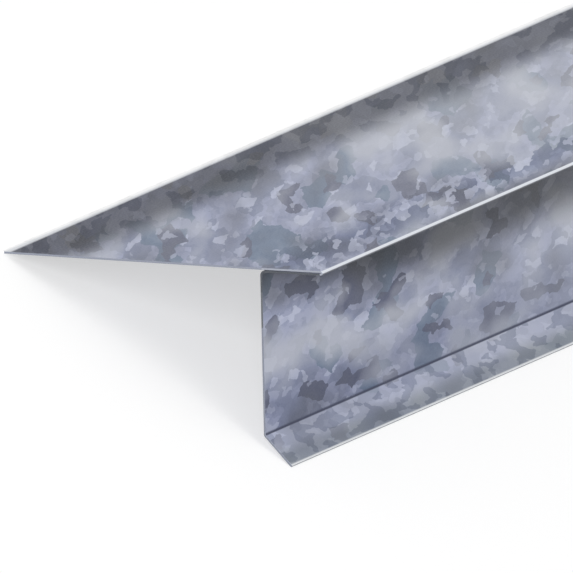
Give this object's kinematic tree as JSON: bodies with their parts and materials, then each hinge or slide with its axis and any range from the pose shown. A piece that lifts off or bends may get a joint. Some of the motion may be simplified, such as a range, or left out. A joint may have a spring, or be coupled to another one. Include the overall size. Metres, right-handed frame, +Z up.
{
  "type": "drip edge flashing",
  "caption": "Folded galvanised steel drip edge: roof flange, hemmed nose that overhangs the fascia web, and a kicked-out lower edge that throws water clear of the eave.",
  "frame": {"origin": "on the floor, under the middle of the strip's bounding box, with the strip resting on its rear edge and on the edge of its kick", "axes": "+Y along the strip from the end nearest the viewer, +X from the roof flange's rear edge towards the kick's edge, +Z up; the roof flange slopes up at 32.6 degrees from its rear edge to the nose"},
  "size_m": [0.0682, 3.048, 0.0345],
  "materials": {
    "galvanised_steel": "hot-dip galvanised, bare, with a large spangle"
  },
  "bodies": {
    "root": {"drip_edge": "galvanised_steel"}
  },
  "joints": []
}
